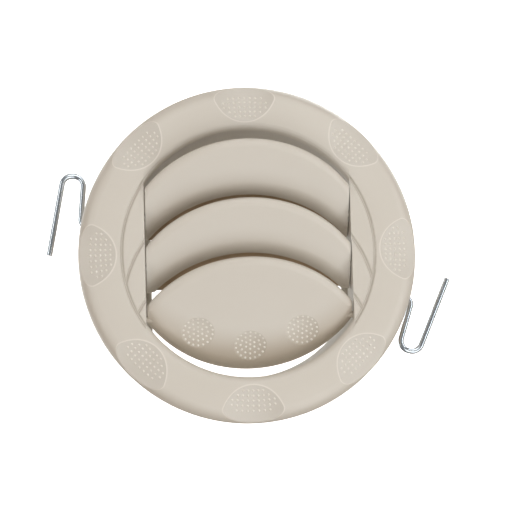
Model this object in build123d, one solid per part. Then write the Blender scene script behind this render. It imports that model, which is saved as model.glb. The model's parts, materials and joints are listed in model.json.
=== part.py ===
from build123d import *
import os
from math import atan2, cos, degrees, radians, sin, sqrt

# Round ventilation grille for a 100 mm duct, in millimetres.
# The wall plane is Y = 0, the front faces -Y, the spigot runs back along +Y and +Z is up.

# Ring and spigot
OPENING_R = 47.4           # inside of the spigot and of the ring
RING_WIDTH = 17.6          # from the opening to the rim
FACE_DEPTH = 10.0          # how far the ring's crown stands out from the wall
CROWN_R = 60.0             # radius of the crown across the ring
CROWN_OUT = 5.6            # from the opening to where the crown is highest
SHOULDER_R = 6.0           # rounding between the crown and the rim
SHELL_WALL = 3.2           # moulded wall of the ring
OPENING_ROLL = 3.0         # rounding of the ring into the opening
SPIGOT_WALL = 2.1
SPIGOT_LENGTH = 26.0       # from the wall plane to the spigot's end
SPIGOT_CHAMFER = 0.8
NECK_LENGTH = 7.0          # slimmer root of the spigot, which the clips come out of
NECK_DEPTH = 0.6
LAND_WIDTH = 2.5           # flat land round the root of the spigot

# Cheeks, the flat sides of the opening that carry the slats
CHEEK_INSET = 7.9          # from the opening's side to a cheek
CHEEK_WALL = 2.0
CHEEK_BACK = 9.0           # how far the cheek walls reach behind the wall plane
CHEEK_PLATE = 2.4          # thickness of the cheeks' front plate
POCKET_WALL = 2.5          # wall of the spigot in the pockets behind the cheeks

# Grooves that carry the slats' arcs across the cheeks
GROOVE_OUT = 0.9           # from the opening to a groove's middle
GROOVE_WIDTH = 1.5
GROOVE_DEPTH = 0.6
GROOVE_OVERRUN = 3.0       # angle by which a groove runs out past its cheek's edge

# Finger scoops round the ring, which slope outward from their tips and run out at the rim
SCOOP_COUNT = 8
SCOOP_MARGIN = 3.0         # from the opening to the scoops' tips
SCOOP_SLOPE = 15.5         # in degrees
SCOOP_R = 35.0             # radius across a scoop
SCOOP_EDGE_R = 0.5

# Slats, drawn closed and then tilted about their pins
SLAT_TILT = 29.0           # tilt in the rest position, in degrees
SLAT_ARC_OUT = 1.9         # how much wider a slat's top arc is than the opening
SLAT_TOP_GAP = 2.0         # from the upper slat to the opening
SLAT_LOW_TOP = 0.2         # height of the lower slat's top edge above the axis
SLAT_WALL = 2.9
SLAT_FACE = 7.0            # closed face, in front of the wall plane
SLAT_END_GAP = 0.5         # between a slat's end and its cheek
SLAT_RIM_GAP = 0.6         # between the lower slat and the opening
SLAT_DROP = 9.8            # foot at the ends of the upper slats, below their pins
LAP_GAP = 0.4              # between a slat's top edge and the step above it
LAP_CLEARANCE = 0.35       # between a closed slat and the lap behind it
LAP_WALL = 1.8
LAP_ROOT = 3.0             # width of the lap's root behind the slat
TOP_ROLL_WIDTH = 2.6
TOP_ROLL_DROP = 1.5
FOOT_ROLL_WIDTH = 5.8
FOOT_ROLL_DROP = 1.9

# Pivot pins on the slats' ends
PIN_R = 1.3
PIN_CLEARANCE = 0.05
PIN_Y = -5.0
PIN_RISE = 1.35            # from the lower slat's bottom corners to its pins
PIN_PITCH_CUT = 3.1        # how much closer the pins stand than the slats' top edges
PIN_REACH = 1.7            # length of a pin inside its cheek
PIN_ROOT = 3.0             # length of a pin inside its slat

# Finger dimples on the lower slat
DIMPLE_R = 6.4
DIMPLE_DEPTH = 1.0
DIMPLE_IN = 11.0           # from the lower slat's rounded edge to the dimples
DIMPLE_STEP = 34.0         # angle between dimples, in degrees

# Tie bar and the cranks that it links
CRANK_R = 13.0
CRANK_LEVEL_TILT = 60.0    # tilt at which the cranks point straight back, in degrees
CRANK_X = -21.0            # inner face of the crank lugs
LUG_WALL = 2.4
LUG_BOSS_R = 2.4
LUG_ROOT_UP = 2.0          # root of a lug, above and below the slat's pins
LUG_ROOT_DOWN = 8.0
BAR_GAP = 0.3
BAR_WALL = 2.2
BAR_WIDTH = 4.4
CRANK_PIN_R = 1.2
CRANK_HEAD_R = 1.6
CRANK_HEAD = 0.8

# Spring clips of bent wire
WIRE_R = 1.1
WIRE_CLEARANCE = 0.05
CLIP_INSET = 3.0           # from the opening's side to a clip's seat
CLIP_Y = 4.0
CLIP_Z = 11.2              # height at which the left clip leaves its seat
CLIP_SEAT = 16.0           # length of the wire in its seat
CLIP_SHORT = 20.3
CLIP_CROSS = 8.0
CLIP_LEG = 31.4
CLIP_SHORT_LEAN = 4.9      # lean of the short and the long leg, in degrees
CLIP_LEG_LEAN = 10.7
CLIP_HOOK_R = 3.8
CLIP_BEND_R = 3.2
CLIP_RIB = 2.5             # thickness of the two ribs that hold the seat
CLIP_RIB_INSET = 1.0       # from the end of the wire to the first rib
CLIP_RIB_SPAN = 8.5        # from the first rib to the second
CLIP_RIB_MARGIN = 1.6      # of rib behind the wire
SLOT_MARGIN = 0.3          # room round the wire in the spigot's slot

# Each clip is bent by hand: its outer corner's place inside the rim and above its seat, and its hook's twist
LEFT_CLIP = (0.6, 1.2, 0.0)
RIGHT_CLIP = (0.3, 7.3, 13.2)

os.makedirs("parts", exist_ok=True)

# Values shared by several pieces
SLATS = ["upper_slat", "middle_slat", "lower_slat"]
LOWEST = len(SLATS) - 1
RIM_R = OPENING_R + RING_WIDTH
CROWN_AT = OPENING_R + CROWN_OUT
GROOVE_R = OPENING_R + GROOVE_OUT
SPIGOT_R = OPENING_R + SPIGOT_WALL
NECK_R = SPIGOT_R - NECK_DEPTH
LAND_R = SPIGOT_R + LAND_WIDTH
CROWN_CENTRE_Y = CROWN_R - FACE_DEPTH
SCOOP_TIP = OPENING_R + SCOOP_MARGIN
CHEEK_X = OPENING_R - CHEEK_INSET
CHEEK_FACE = CROWN_CENTRE_Y - sqrt(CROWN_R**2 - (CROWN_AT - GROOVE_R) ** 2)
POCKET_FRONT = CHEEK_FACE + CHEEK_PLATE
POCKET_R = SPIGOT_R - POCKET_WALL
SLAT_HALF = CHEEK_X - SLAT_END_GAP
SLAT_TOP = OPENING_R - SLAT_TOP_GAP
SLAT_PITCH = (SLAT_TOP - SLAT_LOW_TOP) / LOWEST
SLAT_ARC_R = OPENING_R + SLAT_ARC_OUT
LOWER_R = OPENING_R - SLAT_RIM_GAP
STEP_R = SLAT_ARC_R + LAP_GAP
SLAT_FRONT = -SLAT_FACE
SLAT_BACK = SLAT_FRONT + SLAT_WALL
LAP_FRONT = SLAT_BACK + LAP_CLEARANCE
LAP_BACK = LAP_FRONT + LAP_WALL
PIN_LOW = PIN_RISE - sqrt(LOWER_R**2 - SLAT_HALF**2)
PIN_PITCH = SLAT_PITCH - PIN_PITCH_CUT
PIN_HEIGHTS = [PIN_LOW + (LOWEST - i) * PIN_PITCH for i in range(len(SLATS))]
ARC_CENTRES = [SLAT_TOP - i * SLAT_PITCH - SLAT_ARC_R for i in range(len(SLATS))]
DIMPLE_AT = LOWER_R - DIMPLE_IN
BAR_X = CRANK_X - LUG_WALL - BAR_GAP
BAR_FAR_X = BAR_X - BAR_WALL
CLIP_X = OPENING_R - CLIP_INSET
FUSE = 0.5                 # how far a piece's own features run into each other
FAR = 4 * RIM_R            # longer than the grille, for cutting shapes


def turned(outline, height=0.0):
    """Turn a closed outline of (radius, Y) edges about the axis along Y, with its seam between two scoops."""
    return Pos(0, 0, height) * Rot(0, 180 / SCOOP_COUNT, 0) * revolve(make_face(outline), axis=Axis.Y)


def upright(sketch, front, back):
    """Extrude a sketch of (X, Z) from the front to the back Y."""
    return Pos(0, front, 0) * extrude(Plane.XZ * sketch, amount=back - front, dir=(0, 1, 0))


def sideways(sketch, low, high):
    """Extrude a sketch of (Y, Z) from the low to the high X."""
    return Pos(low, 0, 0) * extrude(Plane.YZ * sketch, amount=high - low, dir=(1, 0, 0))


def block(low, high):
    """A box between two corners."""
    size = [b - a for a, b in zip(low, high)]
    middle = [(a + b) / 2 for a, b in zip(low, high)]
    return Pos(*middle) * Box(*size)


def rod(radius, low, high, y, z):
    """A round bar along X."""
    return Pos((low + high) / 2, y, z) * Rot(0, 90, 0) * Cylinder(radius, high - low)


def bowl(edge_r, depth, x, face, z):
    """The ball that cuts a round hollow of the given edge and depth into a front face."""
    ball_r = (edge_r**2 + depth**2) / (2 * depth)
    return Pos(x, face + depth - ball_r, z) * Sphere(ball_r)


def half_turn_round(piece):
    """The same piece on the opposite side of the grille's axis."""
    return Rot(0, 180, 0) * piece


def crown_section(inset, inner_r):
    """The ring's crown from the rim to an inner radius, set in by a wall, and the point where it ends."""
    rim = RIM_R - inset
    crown_r = CROWN_R - inset
    shoulder_r = SHOULDER_R - inset
    across = rim - shoulder_r - CROWN_AT
    shoulder_y = CROWN_CENTRE_Y - sqrt((crown_r - shoulder_r) ** 2 - across**2)
    meet_angle = atan2(shoulder_y - CROWN_CENTRE_Y, across)
    meet = (CROWN_AT + crown_r * cos(meet_angle), CROWN_CENTRE_Y + crown_r * sin(meet_angle))
    bulge = (
        CROWN_AT + across + shoulder_r * cos(meet_angle / 2),
        shoulder_y + shoulder_r * sin(meet_angle / 2),
    )
    end = (inner_r, CROWN_CENTRE_Y - sqrt(crown_r**2 - (inner_r - CROWN_AT) ** 2))
    edges = [
        Line((rim, 0), (rim, shoulder_y)),
        ThreePointArc((rim, shoulder_y), bulge, meet),
        ThreePointArc(meet, (CROWN_AT, CROWN_CENTRE_Y - crown_r), end),
    ]
    return edges, end


def rolled_opening():
    """The air way, which the ring rolls into at the top and bottom and the cheeks cut off at the sides."""
    flare_r = OPENING_R + OPENING_ROLL
    roll_y = CROWN_CENTRE_Y - sqrt(CROWN_R**2 - (CROWN_AT - flare_r) ** 2)
    throat_y = roll_y + OPENING_ROLL
    bulge = OPENING_ROLL * (1 - sqrt(0.5))
    air_way = turned([
        Polyline((OPENING_R, throat_y), (OPENING_R, FAR), (0, FAR), (0, -FAR), (flare_r, -FAR), (flare_r, roll_y)),
        ThreePointArc((flare_r, roll_y), (OPENING_R + bulge, roll_y + bulge), (OPENING_R, throat_y)),
    ])
    return air_way & block((-CHEEK_X, -FAR, -FAR), (CHEEK_X, FAR, FAR))


def scoops():
    """The round bars that cut the finger scoops, each sloping down into the ring from its tip to the rim."""
    slope = radians(SCOOP_SLOPE)
    place = Pos(SCOOP_TIP + SCOOP_R * sin(slope), -FACE_DEPTH - SCOOP_R * cos(slope), 0)
    bar = place * Rot(0, 0, SCOOP_SLOPE) * Rot(0, 90, 0) * Cylinder(SCOOP_R, RIM_R)
    return [Rot(0, i * 360 / SCOOP_COUNT, 0) * bar for i in range(SCOOP_COUNT)]


def cheek_grooves():
    """Shallow round-bottomed grooves that carry the lower slats' arcs across both cheeks."""
    tool_r = ((GROOVE_WIDTH / 2) ** 2 + GROOVE_DEPTH**2) / (2 * GROOVE_DEPTH)
    tool = Pos(GROOVE_R, CHEEK_FACE + GROOVE_DEPTH - tool_r) * Circle(tool_r)
    cheek_angle = degrees(atan2(sqrt(GROOVE_R**2 - CHEEK_X**2), CHEEK_X))
    cuts = []
    for i in range(1, len(SLATS)):
        drop = i * SLAT_PITCH
        meet_angle = degrees(atan2(drop / 2, sqrt(GROOVE_R**2 - (drop / 2) ** 2)))
        arc = revolve(tool, axis=Axis.Y, revolution_arc=cheek_angle + GROOVE_OVERRUN - meet_angle)
        right = Pos(0, 0, -drop) * Rot(0, -cheek_angle - GROOVE_OVERRUN, 0) * arc
        cuts += [right, mirror(right, about=Plane.YZ)]
    return cuts


def clip_seat(clip):
    """For a left clip: the ribs that hold its wire, the hole through them and the slot that it leaves by."""
    ribs = []
    first = CLIP_Z - CLIP_SEAT + CLIP_RIB_INSET
    for low in (first, first + CLIP_RIB_SPAN):
        ribs.append(block(
            (-OPENING_R - SPIGOT_WALL / 2, POCKET_FRONT - FUSE, low),
            (-CHEEK_X - CHEEK_WALL / 2, CLIP_Y + WIRE_R + CLIP_RIB_MARGIN, low + CLIP_RIB),
        ))
    hole = Pos(-CLIP_X, CLIP_Y, 0) * Cylinder(WIRE_R + WIRE_CLEARANCE, 2 * CLIP_SEAT)
    room = WIRE_R + SLOT_MARGIN
    _, rise, _ = clip
    slot = block(
        (-FAR, CLIP_Y - room, CLIP_Z - CLIP_BEND_R - room),
        (-CLIP_X + room, FAR, CLIP_Z + rise + room),
    )
    outside = OPENING_R - SPIGOT_WALL
    corners = [(outside, 0), (RIM_R, 0), (RIM_R, FAR), (outside, FAR)]
    return [*ribs, hole, slot & turned([Polyline(*corners, close=True)])]


def grille_body():
    """The ring, cheeks and spigot, moulded as one piece and hollow from behind."""
    crown, crown_end = crown_section(0, GROOVE_R + GROOVE_WIDTH / 2)
    cheek_start = (GROOVE_R - GROOVE_WIDTH / 2, CHEEK_FACE)
    inner_r = CHEEK_X - CHEEK_WALL
    body = turned([
        *crown,
        ThreePointArc(crown_end, (GROOVE_R, CHEEK_FACE + GROOVE_DEPTH), cheek_start),
        Polyline(
            cheek_start,
            (inner_r, CHEEK_FACE),
            (inner_r, CHEEK_BACK),
            (OPENING_R, CHEEK_BACK),
            (OPENING_R, SPIGOT_LENGTH),
            (SPIGOT_R - SPIGOT_CHAMFER, SPIGOT_LENGTH),
            (SPIGOT_R, SPIGOT_LENGTH - SPIGOT_CHAMFER),
            (SPIGOT_R, NECK_LENGTH),
            (NECK_R, NECK_LENGTH),
            (NECK_R, 0),
            (RIM_R, 0),
        ),
    ])
    body -= scoops()
    floors = [face for face in body.faces().filter_by(GeomType.CYLINDER) if abs(face.radius - SCOOP_R) < FUSE]
    body = fillet([edge for floor in floors for edge in floor.edges()], SCOOP_EDGE_R)
    for cut in cheek_grooves():
        body -= cut
    hollow, hollow_end = crown_section(SHELL_WALL, LAND_R)
    body -= turned([*hollow, Polyline(hollow_end, (LAND_R, 0), (RIM_R - SHELL_WALL, 0))])
    body -= rolled_opening()

    pocket = Pos(0, (POCKET_FRONT + FAR) / 2, 0) * Rot(90, 0, 0) * Cylinder(POCKET_R, FAR - POCKET_FRONT)
    between = CHEEK_X + CHEEK_WALL
    body -= pocket - block((-between, -FAR, -FAR), (between, FAR, FAR))

    for seat in (clip_seat(LEFT_CLIP), map(half_turn_round, clip_seat(RIGHT_CLIP))):
        *ribs, hole, slot = seat
        body += ribs
        body -= [hole, slot]

    hole_end = CHEEK_X + CHEEK_WALL + PIN_CLEARANCE
    for z in PIN_HEIGHTS:
        body -= [
            rod(PIN_R + PIN_CLEARANCE, CHEEK_X - FUSE, hole_end, PIN_Y, z),
            rod(PIN_R + PIN_CLEARANCE, -hole_end, -CHEEK_X + FUSE, PIN_Y, z),
        ]
    return body


def edge_roll(edge_r, centre, width, drop):
    """Shape in front of a rounded edge: inside the edge's arc if the width is positive, else outside."""
    start_r = edge_r - width
    turn_r = (width**2 + drop**2) / (2 * drop)
    half = atan2(abs(width), turn_r - drop) / 2
    side = 1 if width > 0 else -1
    middle = (start_r + side * turn_r * sin(half), SLAT_FRONT + turn_r * (1 - cos(half)))
    past = edge_r + side * FUSE
    end = (edge_r, SLAT_FRONT + drop)
    return turned([
        ThreePointArc((start_r, SLAT_FRONT), middle, end),
        Polyline(end, (past, SLAT_FRONT + drop), (past, -FAR), (start_r, -FAR), (start_r, SLAT_FRONT)),
    ], centre)


def crank_pin(height, tilt):
    """Place (Y, Z) of a slat's crank pin at a tilt."""
    angle = radians(tilt - CRANK_LEVEL_TILT)
    return PIN_Y + CRANK_R * cos(angle), height + CRANK_R * sin(angle)


def crank(height, root_y):
    """The lug on a slat's back and the headed pin that carries the tie bar."""
    y, z = crank_pin(height, 0)
    boss = Pos(y, z) * Circle(LUG_BOSS_R)
    root = Line((root_y, height + LUG_ROOT_UP), (root_y, height - LUG_ROOT_DOWN))
    lug = sideways(make_hull([*boss.edges(), root]), CRANK_X - LUG_WALL, CRANK_X)
    lug += rod(CRANK_PIN_R, BAR_FAR_X - BAR_GAP, CRANK_X, y, z)
    lug += rod(CRANK_HEAD_R, BAR_FAR_X - BAR_GAP - CRANK_HEAD, BAR_FAR_X - BAR_GAP, y, z)
    return lug


def slat(index):
    """One slat, closed: a plate with rolled edges, end pins and a crank, and a lap behind the next slat."""
    height = PIN_HEIGHTS[index]
    centre = ARC_CENTRES[index]
    outline = (Pos(0, centre) * Circle(SLAT_ARC_R)) & Rectangle(2 * SLAT_HALF, FAR)
    if index == LOWEST:
        piece = upright(outline & Circle(LOWER_R), SLAT_FRONT, SLAT_BACK)
        piece -= edge_roll(LOWER_R, 0, FOOT_ROLL_WIDTH, FOOT_ROLL_DROP)
        for side in (-1, 0, 1):
            angle = radians(side * DIMPLE_STEP)
            piece -= bowl(DIMPLE_R, DIMPLE_DEPTH, DIMPLE_AT * sin(angle), SLAT_FRONT, -DIMPLE_AT * cos(angle))
        crank_root = SLAT_BACK - FUSE
    else:
        outline &= Pos(0, height - SLAT_DROP + FAR / 2) * Rectangle(FAR, FAR)
        next_centre = ARC_CENTRES[index + 1]
        step = Pos(0, next_centre) * Circle(STEP_R)
        root = Pos(0, next_centre) * Circle(STEP_R + LAP_ROOT)
        piece = upright(outline - step, SLAT_FRONT, SLAT_BACK)
        piece -= edge_roll(STEP_R, next_centre, -FOOT_ROLL_WIDTH, FOOT_ROLL_DROP)
        piece += upright((outline & root) - step, SLAT_BACK - FUSE, LAP_BACK)
        piece += upright(outline & root, LAP_FRONT, LAP_BACK)
        crank_root = LAP_BACK - FUSE
    piece -= edge_roll(SLAT_ARC_R, centre, TOP_ROLL_WIDTH, TOP_ROLL_DROP)
    pin_end = CHEEK_X + PIN_REACH
    piece += rod(PIN_R, SLAT_HALF - PIN_ROOT, pin_end, PIN_Y, height)
    piece += rod(PIN_R, -pin_end, -SLAT_HALF + PIN_ROOT, PIN_Y, height)
    piece += crank(height, crank_root)
    return piece


def tilted(piece, height):
    """A closed slat turned about its pins to the rest position, top edge forward."""
    return Pos(0, PIN_Y, height) * Rot(SLAT_TILT, 0, 0) * Pos(0, -PIN_Y, -height) * piece


def tie_bar():
    """The flat bar that links the three cranks, with round ends and a hole for each crank pin."""
    places = [crank_pin(height, SLAT_TILT) for height in PIN_HEIGHTS]
    ends = [Pos(*place) * Circle(BAR_WIDTH / 2) for place in (places[0], places[-1])]
    bar = make_hull([edge for end in ends for edge in end.edges()])
    for place in places:
        bar -= Pos(*place) * Circle(CRANK_PIN_R + PIN_CLEARANCE)
    return sideways(bar, BAR_FAR_X, BAR_X)


def wire_clip(inside, rise, twist):
    """A left clip: wire from its seat behind the cheek, out under the rim, up, over and down the free leg."""
    reach = RIM_R - CLIP_X - inside
    short_lean = radians(CLIP_SHORT_LEAN + twist)
    leg_lean = radians(CLIP_LEG_LEAN + twist)
    cross_lean = radians(twist)
    top = (reach - CLIP_SHORT * sin(short_lean), rise + CLIP_SHORT * cos(short_lean))
    over = (top[0] + CLIP_CROSS * cos(cross_lean), top[1] + CLIP_CROSS * sin(cross_lean))
    tip = (over[0] + CLIP_LEG * sin(leg_lean), over[1] - CLIP_LEG * cos(leg_lean))
    route = [(0, -CLIP_SEAT), (0, 0), (reach, rise), top, over, tip]
    points = [(-CLIP_X - out, CLIP_Y, CLIP_Z + up) for out, up in route]
    path = FilletPolyline(*points, radius=[CLIP_BEND_R, CLIP_BEND_R, CLIP_HOOK_R, CLIP_HOOK_R])
    return sweep(Plane(points[0], z_dir=(0, 0, 1)) * Circle(WIRE_R), path=path)


export_step(grille_body(), "parts/grille_body.step")
for index, name in enumerate(SLATS):
    export_step(tilted(slat(index), PIN_HEIGHTS[index]), f"parts/{name}.step")
export_step(tie_bar(), "parts/tie_bar.step")
export_step(wire_clip(*LEFT_CLIP), "parts/left_clip.step")
export_step(half_turn_round(wire_clip(*RIGHT_CLIP)), "parts/right_clip.step")
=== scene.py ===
import bmesh
import bpy
import json
from math import cos, radians, sin, sqrt
from mathutils import Matrix, Vector


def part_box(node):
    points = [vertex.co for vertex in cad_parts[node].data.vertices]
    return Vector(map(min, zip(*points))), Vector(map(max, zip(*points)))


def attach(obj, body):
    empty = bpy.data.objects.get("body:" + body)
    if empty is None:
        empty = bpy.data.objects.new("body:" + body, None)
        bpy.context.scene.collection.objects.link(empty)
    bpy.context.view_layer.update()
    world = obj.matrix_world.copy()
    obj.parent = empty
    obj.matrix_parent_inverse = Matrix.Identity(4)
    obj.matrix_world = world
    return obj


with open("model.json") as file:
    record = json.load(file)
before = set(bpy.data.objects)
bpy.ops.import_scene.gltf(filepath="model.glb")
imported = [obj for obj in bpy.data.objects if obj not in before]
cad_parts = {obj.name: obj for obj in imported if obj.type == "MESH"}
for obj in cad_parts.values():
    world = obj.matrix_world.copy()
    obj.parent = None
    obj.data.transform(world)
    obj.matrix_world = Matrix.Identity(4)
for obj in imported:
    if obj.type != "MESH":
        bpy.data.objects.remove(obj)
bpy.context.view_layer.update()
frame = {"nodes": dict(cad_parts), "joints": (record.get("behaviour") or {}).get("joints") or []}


# Moulded body: the crowned ring, its cheeks and the spigot behind it are one piece of satin ABS.
# The mould leaves a very fine grain on every face, and the grey-beige colour is in the plastic itself.
# The scoops' edges carry a painted highlight, their floors are a shade darker, and the grooves painted
# shade.

ABS_COLOUR = (0.622, 0.604, 0.557)
ABS_WARM = (0.602, 0.580, 0.527)
ABS_ROUGHNESS = (0.36, 0.46)
EDGE_HIGHLIGHT_COLOUR = (0.735, 0.712, 0.664)
FLOOR_COLOUR = (0.588, 0.570, 0.524)
GROOVE_SHADE_COLOUR = (0.472, 0.442, 0.390)
GRAIN_SIZE = 0.00035
GRAIN_HEIGHT = 0.000012
GRAIN_STRENGTH = 0.5
GRAIN_DETAIL = 2.0
CLOUD_SIZE = 0.03
CLOUD_DETAIL = 3.0
RIM_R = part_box("grille_body")[1].x
FACE_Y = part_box("grille_body")[0].y
SCOOP_COUNT = 8
SCOOP_TURN = radians(360 / SCOOP_COUNT)
SCOOP_TIP = RIM_R - 0.0146
SCOOP_SLOPE = radians(15.5)
SCOOP_R = 0.0350
EDGE_START = 0.00002
EDGE_LIGHTEST = 0.00006
EDGE_END = 0.00030
CHEEK_X = 0.0395
CHEEK_FACE_Y = -0.00982
GROOVE_OUTSIDE_R = 0.04905
GROOVE_DEPTH = 0.00060
GROOVE_START = 0.00022


def moulded_plastic(name, colour, shade, roughness):
    """Through-coloured plastic with slow clouds of tone, a fine mould grain and a satin skin."""
    material = bpy.data.materials.new(name)
    material.use_nodes = True
    nodes = material.node_tree.nodes
    link = material.node_tree.links.new
    skin = nodes["Principled BSDF"]
    place = nodes.new("ShaderNodeTexCoord")
    clouds = nodes.new("ShaderNodeTexNoise")
    clouds.inputs["Scale"].default_value = 1 / CLOUD_SIZE
    clouds.inputs["Detail"].default_value = CLOUD_DETAIL
    link(place.outputs["Object"], clouds.inputs["Vector"])
    tone = nodes.new("ShaderNodeMix")
    tone.data_type = "RGBA"
    tone.inputs["A"].default_value = (*colour, 1)
    tone.inputs["B"].default_value = (*shade, 1)
    link(clouds.outputs["Fac"], tone.inputs["Factor"])
    link(tone.outputs["Result"], skin.inputs["Base Color"])
    grain = nodes.new("ShaderNodeTexNoise")
    grain.inputs["Scale"].default_value = 1 / GRAIN_SIZE
    grain.inputs["Detail"].default_value = GRAIN_DETAIL
    link(place.outputs["Object"], grain.inputs["Vector"])
    sheen = nodes.new("ShaderNodeMapRange")
    sheen.inputs["To Min"].default_value = roughness[0]
    sheen.inputs["To Max"].default_value = roughness[1]
    link(grain.outputs["Fac"], sheen.inputs["Value"])
    link(sheen.outputs["Result"], skin.inputs["Roughness"])
    relief = nodes.new("ShaderNodeBump")
    relief.inputs["Strength"].default_value = GRAIN_STRENGTH
    relief.inputs["Distance"].default_value = GRAIN_HEIGHT
    link(grain.outputs["Fac"], relief.inputs["Height"])
    link(relief.outputs["Normal"], skin.inputs["Normal"])
    return material


def fill(tree, slots, values):
    """Give node inputs constants or other nodes' outputs."""
    for slot, value in zip(slots, values):
        if isinstance(value, bpy.types.NodeSocket):
            tree.links.new(value, slot)
        else:
            slot.default_value = value


def add(tree, kind, **values):
    """A new node with its named inputs filled."""
    node = tree.nodes.new(kind)
    fill(tree, [node.inputs[name.replace("_", " ")] for name in values], values.values())
    return node


def calc(tree, operation, *values, kind="ShaderNodeMath"):
    """The result of a math node on constants or other nodes' outputs."""
    node = tree.nodes.new(kind)
    node.operation = operation
    fill(tree, node.inputs, values)
    return node.outputs[0]


def apart(tree, across, up):
    """The length of a step in the grille's plane."""
    up_square = calc(tree, "MULTIPLY", up, up)
    return calc(tree, "SQRT", calc(tree, "MULTIPLY_ADD", across, across, up_square))


def ramp(tree, value, start, end):
    """A smooth rise from 0 at the start to 1 at the end."""
    node = add(tree, "ShaderNodeMapRange", Value=value, From_Min=start, From_Max=end)
    node.interpolation_type = "SMOOTHSTEP"
    return node.outputs["Result"]


def scoop_floor(tree, across, up, tip, floor_r, slope):
    """How far back the floor of the top scoop lies, across from its middle line and up from the axis."""
    past_tip = calc(tree, "SUBTRACT", up, tip)
    fall = calc(tree, "MULTIPLY_ADD", past_tip, calc(tree, "TANGENT", slope), FACE_Y)
    across_square = calc(tree, "POWER", across, 2.0)
    square = calc(tree, "SUBTRACT", calc(tree, "POWER", floor_r, 2.0), across_square)
    rise = calc(tree, "SUBTRACT", floor_r, calc(tree, "SQRT", square))
    return calc(tree, "SUBTRACT", fall, calc(tree, "DIVIDE", rise, calc(tree, "COSINE", slope)))


def tinted(material, share, colour):
    """Lay a second tone over a material's colour, by a share that is worked out in its node tree."""
    tree = material.node_tree
    skin = tree.nodes["Principled BSDF"]
    tone = tree.nodes.new("ShaderNodeMix")
    tone.data_type = "RGBA"
    tree.links.new(share, tone.inputs["Factor"])
    tree.links.new(skin.inputs["Base Color"].links[0].from_socket, tone.inputs["A"])
    tone.inputs["B"].default_value = (*colour, 1)
    tree.links.new(tone.outputs["Result"], skin.inputs["Base Color"])


def dress(name, material):
    """Give a piece of the CAD model its material."""
    mesh = frame["nodes"][name].data
    mesh.materials.clear()
    mesh.materials.append(material)


ring_plastic = moulded_plastic("ring_abs", ABS_COLOUR, ABS_WARM, ABS_ROUGHNESS)
tree = ring_plastic.node_tree
place = tree.nodes["Texture Coordinate"].outputs["Object"]
x, y, z = add(tree, "ShaderNodeSeparateXYZ", Vector=place).outputs
radius = apart(tree, x, z)
angle = calc(tree, "WRAP", calc(tree, "ARCTAN2", x, z), SCOOP_TURN / 2, -SCOOP_TURN / 2)
across = calc(tree, "MULTIPLY", radius, calc(tree, "SINE", angle))
up = calc(tree, "MULTIPLY", radius, calc(tree, "COSINE", angle))
behind = calc(tree, "SUBTRACT", y, scoop_floor(tree, across, up, SCOOP_TIP, SCOOP_R, SCOOP_SLOPE))
# Painted highlight: a light band along the scoops' edges, where the rounded edge catches the light.
fade = calc(tree, "SUBTRACT", 1.0, ramp(tree, behind, EDGE_LIGHTEST, EDGE_END))
edge = calc(tree, "MULTIPLY", ramp(tree, behind, EDGE_START, EDGE_LIGHTEST), fade)
on_ring = calc(tree, "GREATER_THAN", radius, GROOVE_OUTSIDE_R)
tinted(ring_plastic, calc(tree, "MULTIPLY", edge, on_ring), EDGE_HIGHLIGHT_COLOUR)
# The scoops' floors are drawn a shade darker than the ring.
in_scoop = calc(tree, "SUBTRACT", 1.0, ramp(tree, behind, EDGE_START, EDGE_LIGHTEST))
tinted(ring_plastic, calc(tree, "MULTIPLY", in_scoop, on_ring), FLOOR_COLOUR)
# Painted shade: the cheeks' grooves darken towards their bottoms, where shade falls.
depth = calc(tree, "SUBTRACT", y, CHEEK_FACE_Y)
above_floor = calc(tree, "LESS_THAN", depth, GROOVE_DEPTH)
groove_shade = calc(tree, "MULTIPLY", ramp(tree, depth, GROOVE_START, GROOVE_DEPTH), above_floor)
past_edge = calc(tree, "GREATER_THAN", calc(tree, "ABSOLUTE", x), CHEEK_X + GROOVE_START)
on_cheek = calc(tree, "MULTIPLY", past_edge, calc(tree, "LESS_THAN", radius, GROOVE_OUTSIDE_R))
tinted(ring_plastic, calc(tree, "MULTIPLY", groove_shade, on_cheek), GROOVE_SHADE_COLOUR)
dress("grille_body", ring_plastic)


# Back lips of the cheeks: each cheek wall ends in a rounded lip behind the slats' ends.
# It is moulded with the cheek from the same plastic, stiffens it, and closes the view past the slats.

LIP_REACH = 0.0022
LIP_R = 0.0008
LIP_MIDDLE_Y = 0.0081
LIP_STEPS = 10
LIP_ROOT = 0.0003
BORE_R = 0.0474


def cheek_lips():
    """A half-round lip along the back of both cheeks, from wall to wall of the bore."""
    nose = LIP_REACH - LIP_R
    end_r = BORE_R + LIP_ROOT
    section = [(-LIP_ROOT, LIP_MIDDLE_Y - LIP_R)]
    for i in range(LIP_STEPS + 1):
        angle = radians(180 * i / LIP_STEPS - 90)
        section.append((nose + LIP_R * cos(angle), LIP_MIDDLE_Y + LIP_R * sin(angle)))
    section.append((-LIP_ROOT, LIP_MIDDLE_Y + LIP_R))
    shape = bmesh.new()
    for side in (-1, 1):
        ends = []
        for end in (-1, 1):
            corners = [(CHEEK_X - inward, y) for inward, y in section]
            spots = [(side * x, y, end * sqrt(end_r**2 - x**2)) for x, y in corners]
            ring = [shape.verts.new(spot) for spot in spots]
            shape.faces.new(ring)
            ends.append(ring)
        for i in range(len(section)):
            j = (i + 1) % len(section)
            shape.faces.new((ends[0][i], ends[0][j], ends[1][j], ends[1][i]))
    bmesh.ops.recalc_face_normals(shape, faces=shape.faces)
    mesh = bpy.data.meshes.new("cheek_lips")
    shape.to_mesh(mesh)
    shape.free()
    lips = bpy.data.objects.new("cheek_lips", mesh)
    bpy.context.scene.collection.objects.link(lips)
    return lips


abs_plastic = moulded_plastic("satin_abs", ABS_COLOUR, ABS_WARM, ABS_ROUGHNESS)
lips = cheek_lips()
lips.data.materials.append(abs_plastic)
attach(lips, "frame")


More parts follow.
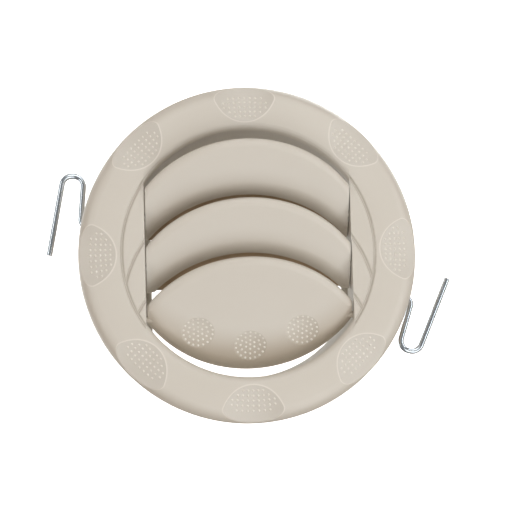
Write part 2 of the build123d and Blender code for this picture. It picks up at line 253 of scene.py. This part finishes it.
# Grip dots of the ring: a fan of small domes moulded into the floor of every finger scoop.
# They stand in rows along the ring and in columns that point to its centre, clear of the scoop's edge.
# The mould's pits are polished, so the dots are glossier; their plastic is also a little lighter than the
# ring's.

DOT_R = 0.00062
DOT_HEIGHT = 0.00056
DOT_SINK = 0.5
DOT_COLOUR = (0.775, 0.753, 0.708)
DOT_SHADE = (0.750, 0.725, 0.674)
DOT_ROUGHNESS = (0.20, 0.28)
DOT_SIDES = 10
ROW_COUNT = 5
ROW_PITCH = 0.0019
COLUMN_COUNT = 11
COLUMN_PITCH = 0.0020
ROWS_MIDDLE = RIM_R - 0.0086
FAN_AT = RIM_R - 0.0034
FAN_R = 0.0100
FAN_TOP_AT = RIM_R - 0.0106
FAN_TOP_R = 0.0097


def dot_tree(name, sizes):
    """A new node tree with named size inputs, and those inputs' outputs by name."""
    tree = bpy.data.node_groups.new(name, "GeometryNodeTree")
    tree.interface.new_socket("Geometry", in_out="OUTPUT", socket_type="NodeSocketGeometry")
    for size in sizes:
        tree.interface.new_socket(size, in_out="INPUT", socket_type="NodeSocketFloat")
    return tree, {socket.name: socket for socket in tree.nodes.new("NodeGroupInput").outputs}


def point(tree, x, y, z):
    """A vector from its three lengths."""
    return add(tree, "ShaderNodeCombineXYZ", X=x, Y=y, Z=z).outputs[0]


def vector(tree, operation, *values):
    """The result of a vector math node."""
    return calc(tree, operation, *values, kind="ShaderNodeVectorMath")


def here(tree):
    """Where each point is when it is looked at."""
    return tree.nodes.new("GeometryNodeInputPosition").outputs[0]


def domes(tree, sizes, points, place, upward):
    """Small domes on points that are moved to their places on a floor, standing square to it."""
    seated = add(tree, "GeometryNodeSetPosition", Geometry=points, Position=place)
    dome = add(tree, "GeometryNodeMeshUVSphere", Segments=DOT_SIDES, Rings=DOT_SIDES // 2, Radius=1.0)
    sink = (0.0, 0.0, -DOT_SINK)
    sunk = add(tree, "GeometryNodeTransform", Geometry=dome.outputs["Mesh"], Translation=sink)
    turn = add(tree, "FunctionNodeAlignRotationToVector", Vector=upward)
    turn.axis = "Z"
    squash = point(tree, sizes["Dot Radius"], sizes["Dot Radius"], sizes["Dot Height"])
    return add(
        tree, "GeometryNodeInstanceOnPoints", Points=seated.outputs[0],
        Instance=sunk.outputs[0], Rotation=turn.outputs[0], Scale=squash,
    ).outputs[0]


def close_tree(tree, instances, material):
    """Make the instances real, give them their plastic and end the tree."""
    real = add(tree, "GeometryNodeRealizeInstances", Geometry=instances)
    dressed = add(tree, "GeometryNodeSetMaterial", Geometry=real.outputs[0], Material=material)
    add(tree, "NodeGroupOutput", Geometry=dressed.outputs[0])


def grown(name, tree, sizes):
    """A plain mesh object grown from a node tree with the given sizes."""
    grower = bpy.data.objects.new(name + "_grower", bpy.data.meshes.new(name + "_seed"))
    bpy.context.scene.collection.objects.link(grower)
    modifier = grower.modifiers.new(name, "NODES")
    modifier.node_group = tree
    for item in tree.interface.items_tree:
        if item.in_out == "INPUT":
            modifier[item.identifier] = sizes[item.name]
    shape = grower.evaluated_get(bpy.context.evaluated_depsgraph_get())
    mesh = bpy.data.meshes.new_from_object(shape)
    bpy.data.objects.remove(grower)
    mesh.shade_smooth()
    piece = bpy.data.objects.new(name, mesh)
    bpy.context.scene.collection.objects.link(piece)
    return piece


dot_plastic = moulded_plastic("polished_abs", DOT_COLOUR, DOT_SHADE, DOT_ROUGHNESS)
ring_sizes = {
    "Dot Radius": DOT_R,
    "Dot Height": DOT_HEIGHT,
    "Row Pitch": ROW_PITCH,
    "Column Pitch": COLUMN_PITCH,
    "Rows Middle": ROWS_MIDDLE,
    "Fan Height": FAN_AT,
    "Fan Radius": FAN_R,
    "Fan Top Height": FAN_TOP_AT,
    "Fan Top Radius": FAN_TOP_R,
    "Scoop Tip": SCOOP_TIP,
    "Scoop Radius": SCOOP_R,
    "Scoop Slope": SCOOP_SLOPE,
}
tree, size = dot_tree("scoop_dots", ring_sizes)
grid = add(
    tree, "GeometryNodeMeshGrid", Vertices_X=COLUMN_COUNT, Vertices_Y=ROW_COUNT,
    Size_X=calc(tree, "MULTIPLY", size["Column Pitch"], COLUMN_COUNT - 1),
    Size_Y=calc(tree, "MULTIPLY", size["Row Pitch"], ROW_COUNT - 1),
)
flat = add(tree, "ShaderNodeSeparateXYZ", Vector=here(tree))
row_r = calc(tree, "ADD", size["Rows Middle"], flat.outputs["Y"])
column_angle = calc(tree, "DIVIDE", flat.outputs["X"], size["Rows Middle"])
across = calc(tree, "MULTIPLY", row_r, calc(tree, "SINE", column_angle))
up = calc(tree, "MULTIPLY", row_r, calc(tree, "COSINE", column_angle))
in_fan = apart(tree, across, calc(tree, "SUBTRACT", up, size["Fan Height"]))
in_top = apart(tree, across, calc(tree, "SUBTRACT", up, size["Fan Top Height"]))
keep = calc(
    tree, "MULTIPLY", calc(tree, "LESS_THAN", in_fan, size["Fan Radius"]),
    calc(tree, "LESS_THAN", in_top, size["Fan Top Radius"]),
)
fan = add(tree, "GeometryNodeSeparateGeometry", Geometry=grid.outputs["Mesh"], Selection=keep)
slope_sin = calc(tree, "SINE", size["Scoop Slope"])
slope_cos = calc(tree, "COSINE", size["Scoop Slope"])
scoop_r = size["Scoop Radius"]
floor = scoop_floor(tree, across, up, size["Scoop Tip"], scoop_r, size["Scoop Slope"])
place = point(tree, across, floor, up)
axis_y = calc(tree, "SUBTRACT", FACE_Y, calc(tree, "MULTIPLY", scoop_r, slope_cos))
axis_z = calc(tree, "MULTIPLY_ADD", scoop_r, slope_sin, size["Scoop Tip"])
to_axis = vector(tree, "SUBTRACT", point(tree, 0.0, axis_y, axis_z), here(tree))
along = vector(tree, "PROJECT", to_axis, point(tree, 0.0, slope_sin, slope_cos))
upward = vector(tree, "SUBTRACT", to_axis, along)
patch = domes(tree, size, fan.outputs["Selection"], place, upward)
hub = add(tree, "GeometryNodePoints", Count=SCOOP_COUNT)
index = tree.nodes.new("GeometryNodeInputIndex").outputs[0]
turns = point(tree, 0.0, calc(tree, "MULTIPLY", index, SCOOP_TURN), 0.0)
patches = add(
    tree, "GeometryNodeInstanceOnPoints", Points=hub.outputs[0], Instance=patch, Rotation=turns,
)
close_tree(tree, patches.outputs[0], dot_plastic)
ring_dots = grown("ring_grip_dots", tree, ring_sizes)
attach(ring_dots, "frame")


# Slats: three moulded blades that tilt together on pins in the cheeks, with the tie bar behind them.
# They come from the same plastic as the ring, and are snapped into the cheeks' holes.
# Painted brown shade darkens their feet, the lower slat's most of all, and the tops of the laps behind.

FOOT_SHADE_COLOUR = (0.430, 0.372, 0.295)
LAP_SHADE_COLOUR = (0.400, 0.300, 0.200)
STEP_PITCH = 0.0226
UPPER_STEP_Z = -0.0265
MIDDLE_STEP_Z = UPPER_STEP_Z - STEP_PITCH
STEP_START = 0.0620
STEP_BROWNEST = 0.0505
STEP_SHARE = 0.4
LAP_R = 0.04975
LAP_UNSHADED = 0.0445
LAP_BROWNEST = 0.0470
LAP_MIDDLE_Y = -0.0030
LOWER_FOOT_Z = 0.0200
LOWER_FOOT_START = 0.0470
LOWER_FOOT_BROWNEST = 0.0625
LOWER_FOOT_SHARE = 0.8
NO_LAP = 0.0
joints = {joint["name"]: joint for joint in frame["joints"]}


def slat_with_painted_shade(name, joint, middle_z, start, brownest, share, lap_r):
    """Slat plastic with painted brown shade along arcs round a middle height and in the lap, as on the
    closed slat.
    """
    material = moulded_plastic(name, ABS_COLOUR, ABS_WARM, ABS_ROUGHNESS)
    tree = material.node_tree
    to_pin = Matrix.Translation(Vector(joint["pos_m"]))
    closed = to_pin @ Matrix.Rotation(radians(joint["range_deg"][0]), 4, "X") @ to_pin.inverted()
    lying = add(
        tree, "ShaderNodeMapping", Vector=tree.nodes["Texture Coordinate"].outputs["Object"],
        Location=closed.to_translation(), Rotation=closed.to_euler(),
    )
    x, y, z = add(tree, "ShaderNodeSeparateXYZ", Vector=lying.outputs[0]).outputs
    from_middle = apart(tree, x, calc(tree, "SUBTRACT", z, middle_z))
    # Painted shade: brown darkening along arcs towards the foot, where it turns from the light and tucks
    # behind.
    brown = ramp(tree, from_middle, start, brownest)
    tinted(material, calc(tree, "MULTIPLY", brown, share), FOOT_SHADE_COLOUR)
    # Painted shade: the lap's front, tucked behind the next slat's top edge, is darker and browner.
    on_front = calc(tree, "LESS_THAN", y, LAP_MIDDLE_Y)
    in_lap = calc(tree, "MULTIPLY", calc(tree, "LESS_THAN", from_middle, lap_r), on_front)
    lap_shade = ramp(tree, from_middle, LAP_UNSHADED, LAP_BROWNEST)
    tinted(material, calc(tree, "MULTIPLY", in_lap, lap_shade), LAP_SHADE_COLOUR)
    return material


step_tone = (STEP_START, STEP_BROWNEST, STEP_SHARE, LAP_R)
foot_tone = (LOWER_FOOT_START, LOWER_FOOT_BROWNEST, LOWER_FOOT_SHARE, NO_LAP)
slat_plastics = {
    "upper_slat": slat_with_painted_shade("upper_abs", joints["upper_tilt"], UPPER_STEP_Z, *step_tone),
    "middle_slat": slat_with_painted_shade("middle_abs", joints["middle_tilt"], MIDDLE_STEP_Z, *step_tone),
    "lower_slat": slat_with_painted_shade("lower_abs", joints["lower_tilt"], LOWER_FOOT_Z, *foot_tone),
    "tie_bar": abs_plastic,
}
for name, plastic in slat_plastics.items():
    dress(name, plastic)


# Grip dots of the lower slat: domes in rings on the floors of its three finger dimples.
# They are moulded with the slat, and a finger pushes there to tilt all three slats.

PIN_PLACE = Vector(joints["lower_tilt"]["pos_m"])
REST_TILT = radians(-joints["lower_tilt"]["range_deg"][0])
SLAT_FACE_Y = -0.0070
DIMPLE_R = 0.0064
DIMPLE_DEPTH = 0.0010
DIMPLE_AT = 0.0358
DIMPLE_COUNT = 3
DIMPLE_STEP = radians(34)
RING_COUNT = 3
RING_SIDES = 6
RING_PITCH = 0.00186

dimple_sizes = {
    "Dot Radius": DOT_R,
    "Dot Height": DOT_HEIGHT,
    "Ring Pitch": RING_PITCH,
    "Dimple Radius": DIMPLE_R,
    "Dimple Depth": DIMPLE_DEPTH,
    "Dimple Distance": DIMPLE_AT,
}
tree, size = dot_tree("dimple_dots", dimple_sizes)
rings = add(tree, "GeometryNodeJoinGeometry")
tree.links.new(add(tree, "GeometryNodeMeshLine", Count=1).outputs[0], rings.inputs[0])
for i in range(1, RING_COUNT + 1):
    ring_r = calc(tree, "MULTIPLY", size["Ring Pitch"], i)
    ring = add(tree, "GeometryNodeMeshCircle", Vertices=RING_SIDES * i, Radius=ring_r)
    tree.links.new(ring.outputs[0], rings.inputs[0])
flat = add(tree, "ShaderNodeSeparateXYZ", Vector=here(tree))
across, up = flat.outputs["Y"], flat.outputs["X"]
edge_square = calc(tree, "POWER", size["Dimple Radius"], 2.0)
both_square = calc(tree, "MULTIPLY_ADD", size["Dimple Depth"], size["Dimple Depth"], edge_square)
ball_r = calc(tree, "DIVIDE", both_square, calc(tree, "MULTIPLY", size["Dimple Depth"], 2.0))
ball_y = calc(tree, "SUBTRACT", calc(tree, "ADD", size["Dimple Depth"], SLAT_FACE_Y), ball_r)
off_square = calc(tree, "POWER", apart(tree, across, up), 2.0)
square = calc(tree, "SUBTRACT", calc(tree, "POWER", ball_r, 2.0), off_square)
place = point(tree, across, calc(tree, "ADD", ball_y, calc(tree, "SQRT", square)), up)
upward = vector(tree, "SUBTRACT", point(tree, 0.0, ball_y, 0.0), here(tree))
patch = domes(tree, size, rings.outputs[0], place, upward)
index = tree.nodes.new("GeometryNodeInputIndex").outputs[0]
from_middle = calc(tree, "SUBTRACT", index, (DIMPLE_COUNT - 1) / 2)
angle = calc(tree, "MULTIPLY", from_middle, DIMPLE_STEP)
spot_x = calc(tree, "MULTIPLY", size["Dimple Distance"], calc(tree, "SINE", angle))
spot_up = calc(tree, "MULTIPLY", size["Dimple Distance"], calc(tree, "COSINE", angle))
spot = point(tree, spot_x, 0.0, calc(tree, "MULTIPLY", spot_up, -1.0))
spots = add(tree, "GeometryNodePoints", Count=DIMPLE_COUNT, Position=spot)
patches = add(tree, "GeometryNodeInstanceOnPoints", Points=spots.outputs[0], Instance=patch)
close_tree(tree, patches.outputs[0], dot_plastic)
dimple_dots = grown("dimple_grip_dots", tree, dimple_sizes)
to_pin = Matrix.Translation(PIN_PLACE)
dimple_dots.data.transform(to_pin @ Matrix.Rotation(REST_TILT, 4, "X") @ to_pin.inverted())
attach(dimple_dots, "lower")


# Spring clips: two lengths of hard steel wire, bent cold and plated bright.
# They are seated between the cheeks and the spigot's wall, and handling dulls the plating in patches.

PLATE_COLOUR = (0.81, 0.84, 0.86)
PLATE_SHADE = (0.60, 0.63, 0.65)
PLATE_ROUGHNESS = (0.08, 0.24)
PATCH_SIZE = 0.004
PATCH_DETAIL = 6.0


def plated_wire(name):
    """Bright plated steel with dull patches."""
    material = bpy.data.materials.new(name)
    material.use_nodes = True
    nodes = material.node_tree.nodes
    link = material.node_tree.links.new
    skin = nodes["Principled BSDF"]
    skin.inputs["Metallic"].default_value = 1.0
    place = nodes.new("ShaderNodeTexCoord")
    patches = nodes.new("ShaderNodeTexNoise")
    patches.inputs["Scale"].default_value = 1 / PATCH_SIZE
    patches.inputs["Detail"].default_value = PATCH_DETAIL
    link(place.outputs["Object"], patches.inputs["Vector"])
    tone = nodes.new("ShaderNodeMix")
    tone.data_type = "RGBA"
    tone.inputs["A"].default_value = (*PLATE_COLOUR, 1)
    tone.inputs["B"].default_value = (*PLATE_SHADE, 1)
    link(patches.outputs["Fac"], tone.inputs["Factor"])
    link(tone.outputs["Result"], skin.inputs["Base Color"])
    sheen = nodes.new("ShaderNodeMapRange")
    sheen.inputs["To Min"].default_value = PLATE_ROUGHNESS[0]
    sheen.inputs["To Max"].default_value = PLATE_ROUGHNESS[1]
    link(patches.outputs["Fac"], sheen.inputs["Value"])
    link(sheen.outputs["Result"], skin.inputs["Roughness"])
    return material


clip_steel = plated_wire("plated_spring_wire")
for name in ("left_clip", "right_clip"):
    dress(name, clip_steel)


# Studio: a white paper sweep. The floor lies well below the grille, which hangs as it would on a wall.
# The paper glows white for the camera and lends the grille no light, so the grille's inside stays dark.
# It casts no shadow either, so the low panel's light comes up through it.

FLOOR_Z = -0.30
WALL_Y = 1.0
SWEEP_R = 0.30
SWEEP_STEPS = 12
STAGE_HALF = 3.0
STAGE_TOP = 3.0
STAGE_WHITE = (0.93, 0.93, 0.92)
STAGE_GLOW = 0.85
PAPER_ROUGHNESS = 0.9
PURE_WHITE = (1.0, 1.0, 1.0, 1.0)

section = [(-STAGE_HALF, FLOOR_Z)]
for i in range(SWEEP_STEPS + 1):
    angle = radians(90 * i / SWEEP_STEPS)
    section.append((WALL_Y - SWEEP_R + SWEEP_R * sin(angle), FLOOR_Z + SWEEP_R - SWEEP_R * cos(angle)))
section.append((WALL_Y, STAGE_TOP))
points = [(x, y, z) for y, z in section for x in (-STAGE_HALF, STAGE_HALF)]
faces = [(2 * i, 2 * i + 1, 2 * i + 3, 2 * i + 2) for i in range(len(section) - 1)]
sweep_mesh = bpy.data.meshes.new("white_sweep")
sweep_mesh.from_pydata(points, [], faces)
sweep_mesh.shade_smooth()
sweep = bpy.data.objects.new("white_sweep", sweep_mesh)
sweep.visible_diffuse = False
sweep.visible_glossy = False
sweep.visible_shadow = False
bpy.context.scene.collection.objects.link(sweep)
paper = bpy.data.materials.new("white_paper")
paper.use_nodes = True
paper_skin = paper.node_tree.nodes["Principled BSDF"]
paper_skin.inputs["Base Color"].default_value = (*STAGE_WHITE, 1)
paper_skin.inputs["Roughness"].default_value = PAPER_ROUGHNESS
paper_skin.inputs["Emission Color"].default_value = PURE_WHITE
paper_skin.inputs["Emission Strength"].default_value = STAGE_GLOW
sweep_mesh.materials.append(paper)


# Lights: a wide panel low in front, a soft box above, and a tall strip on each side that draws a bright
# line along the wires. Two stand behind for the back, and a wide one hangs over the rim.
# The room shows white, fills the gaps with a dim warm light, and mirrors as cool grey walls in the wires.

DAYLIGHT = (0.96, 1.00, 1.03)
ROOM_SHADE = (1.0, 0.71, 0.46, 1.0)
ROOM_STRENGTH = 0.32
WALL_COLOUR = (0.96, 0.99, 1.02, 1.0)
WALL_STRENGTH = 0.22


def soft_box(name, place, width, height, power):
    """A rectangular light that faces the grille's middle."""
    light = bpy.data.lights.new(name, "AREA")
    light.shape = "RECTANGLE"
    light.size = width
    light.size_y = height
    light.energy = power
    light.color = DAYLIGHT
    lamp = bpy.data.objects.new(name, light)
    lamp.location = place
    lamp.rotation_euler = (-Vector(place)).to_track_quat("-Z", "Y").to_euler()
    bpy.context.scene.collection.objects.link(lamp)


soft_box("front_panel", place=(0.40, -1.00, -0.95), width=1.5, height=1.5, power=10.4)
soft_box("top_light", place=(0.10, -1.00, 0.80), width=0.9, height=0.9, power=4.9)
soft_box("left_strip", place=(-0.90, -0.70, 0.00), width=0.25, height=1.20, power=3.1)
soft_box("right_strip", place=(0.90, -0.70, 0.00), width=0.25, height=1.20, power=3.6)
soft_box("rim_light", place=(-0.15, 0.10, 1.15), width=2.0, height=2.0, power=4.0)
soft_box("back_light", place=(0.50, 0.85, 0.70), width=0.9, height=0.9, power=10.0)
soft_box("back_fill", place=(-0.65, 0.75, 0.10), width=0.5, height=1.0, power=4.0)
room = bpy.data.worlds.new("studio_room")
room.use_nodes = True
tree = room.node_tree
shade = tree.nodes["Background"]
fill(tree, [shade.inputs["Color"], shade.inputs["Strength"]], [ROOM_SHADE, ROOM_STRENGTH])
walls = add(tree, "ShaderNodeBackground", Color=WALL_COLOUR, Strength=WALL_STRENGTH)
paper_white = add(tree, "ShaderNodeBackground", Color=PURE_WHITE, Strength=1.0)
ray = tree.nodes.new("ShaderNodeLightPath")
mirrored = add(tree, "ShaderNodeMixShader", Fac=ray.outputs["Is Glossy Ray"])
fill(tree, mirrored.inputs[1:], [shade.outputs[0], walls.outputs[0]])
seen = add(tree, "ShaderNodeMixShader", Fac=ray.outputs["Is Camera Ray"])
fill(tree, seen.inputs[1:], [mirrored.outputs[0], paper_white.outputs[0]])
fill(tree, tree.nodes["World Output"].inputs, [seen.outputs[0]])
bpy.context.scene.world = room
bpy.context.scene.view_settings.view_transform = "Standard"


# Camera: the photograph is taken from a little below and to the left, with a slightly tilted frame.
# The focal length and the place of the grille's middle are given in pixels of the photograph.

PICTURE_SIZE = 510
SENSOR_WIDTH = 36.0
FOCAL_PIXELS = 1289
CENTRE_PIXEL = (247.3, 254.5)
CAMERA_DISTANCE = 0.5
CAMERA_LEFT = radians(4)
CAMERA_BELOW = radians(6)
CAMERA_ROLL = radians(-1.7)

camera_data = bpy.data.cameras.new("photo_camera")
camera_data.sensor_width = SENSOR_WIDTH
camera_data.lens = SENSOR_WIDTH * FOCAL_PIXELS / PICTURE_SIZE
camera_data.shift_x = 0.5 - CENTRE_PIXEL[0] / PICTURE_SIZE
camera_data.shift_y = CENTRE_PIXEL[1] / PICTURE_SIZE - 0.5
camera = bpy.data.objects.new("photo_camera", camera_data)
camera.location = CAMERA_DISTANCE * Vector((
    -sin(CAMERA_LEFT) * cos(CAMERA_BELOW),
    -cos(CAMERA_LEFT) * cos(CAMERA_BELOW),
    -sin(CAMERA_BELOW),
))
aim = (-camera.location).to_track_quat("-Z", "Y").to_matrix()
camera.rotation_euler = (aim @ Matrix.Rotation(CAMERA_ROLL, 3, "Z")).to_euler()
bpy.context.scene.collection.objects.link(camera)
bpy.context.scene.camera = camera
